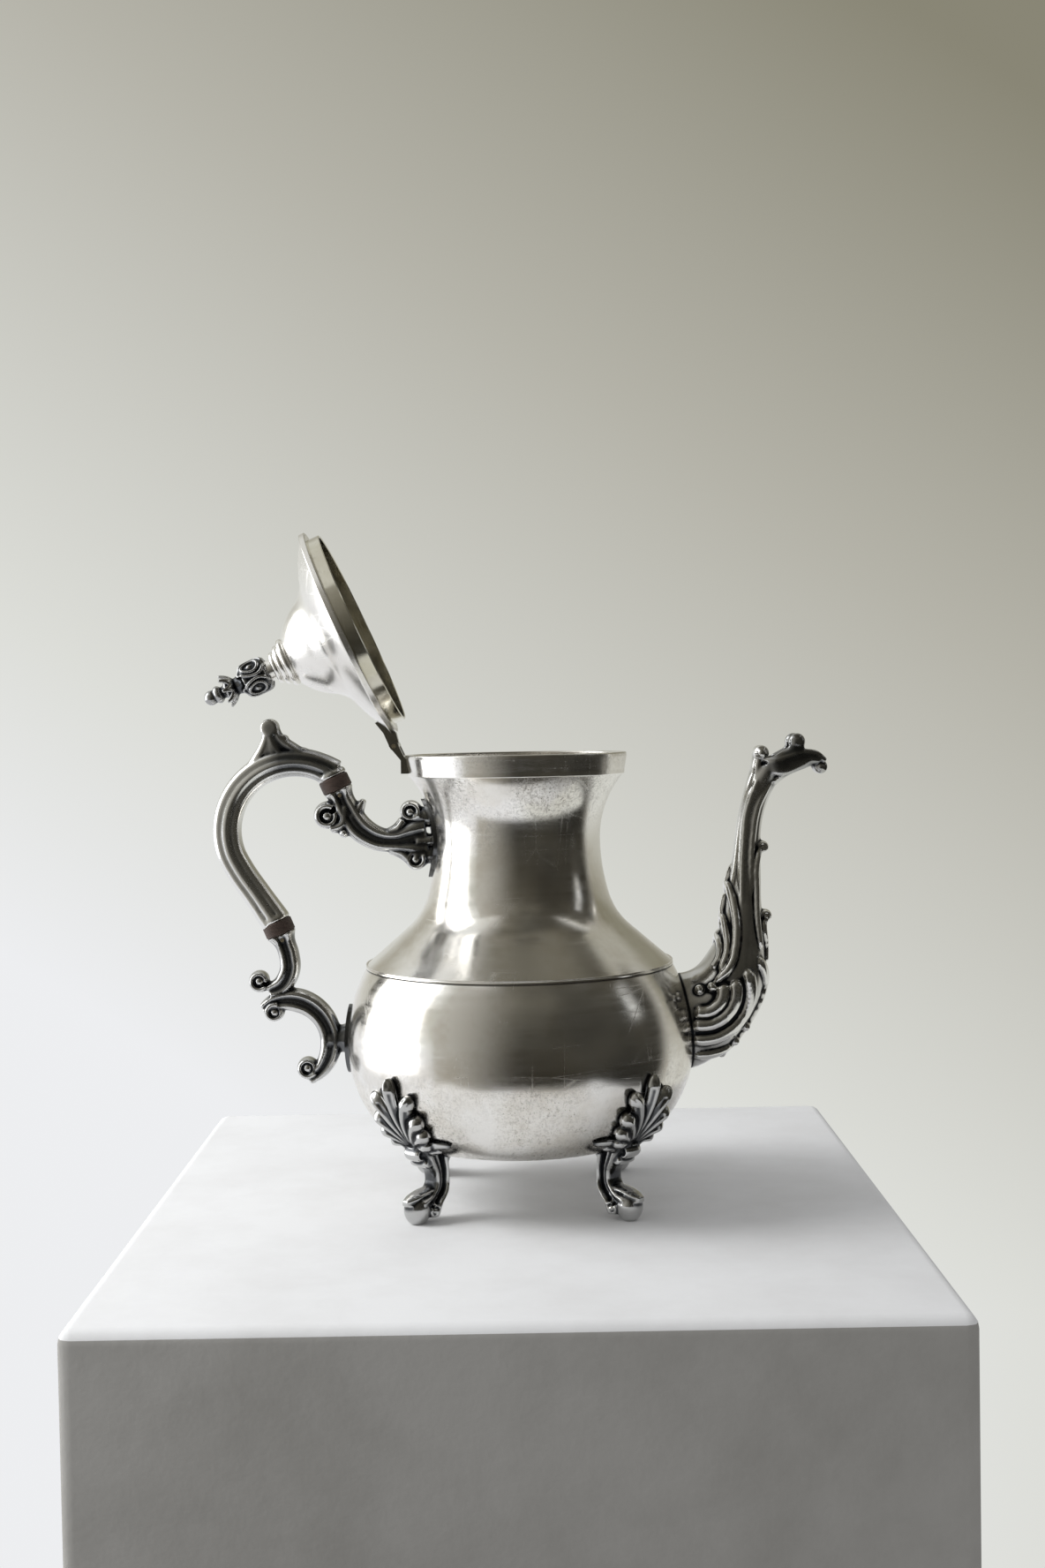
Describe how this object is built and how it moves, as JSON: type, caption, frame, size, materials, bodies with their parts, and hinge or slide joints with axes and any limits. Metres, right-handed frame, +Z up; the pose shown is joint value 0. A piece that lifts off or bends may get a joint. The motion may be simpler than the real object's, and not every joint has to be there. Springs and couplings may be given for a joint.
{
  "type": "teapot",
  "caption": "Footed silver teapot with a round bowl, waisted neck, gadrooned scroll spout, insulated scroll handle and a hinged bell-shaped lid with a leafy finial.",
  "frame": {"origin": "on the pot's axis, at the height of the table under the feet", "axes": "+Z up the pot's axis, +X towards the spout, -X towards the handle and the hinge"},
  "size_m": [0.2533, 0.1412, 0.2721],
  "materials": {
    "polished_silver": "polished silver plate, lightly tarnished",
    "cast_silver": "cast and chased silver, dark in its hollows",
    "insulator": "matte brown",
    "fixings": "turned, plain"
  },
  "bodies": {
    "pot": {"bowl": "polished_silver", "neck": "polished_silver", "mouth_band": "polished_silver", "spout": "cast_silver", "foot_front_left": "cast_silver", "foot_front_right": "cast_silver", "foot_rear_left": "cast_silver", "foot_rear_right": "cast_silver", "upper_handle_patch": "cast_silver", "upper_handle_bracket": "cast_silver", "upper_insulator": "insulator", "upper_insulator_pins": "fixings", "handle_grip": "cast_silver", "lower_insulator": "insulator", "lower_insulator_pins": "fixings", "lower_handle_bracket": "cast_silver", "lower_handle_patch": "cast_silver", "body_hinge_leaf": "cast_silver", "hinge_pin": "fixings"},
    "lid": {"lid_dome": "polished_silver", "lid_bezel": "polished_silver", "lid_hinge_leaf": "cast_silver", "finial_collar": "polished_silver", "finial": "cast_silver", "finial_stud": "fixings", "finial_washer": "fixings", "finial_nut": "fixings"}
  },
  "joints": [
    {"name": "lid_hinge", "type": "hinge", "parent": "pot", "child": "lid", "pos_m": [-0.0492, 0, 0.1852], "axis": [0, -1, 0], "range_deg": [-114, 0]}
  ]
}
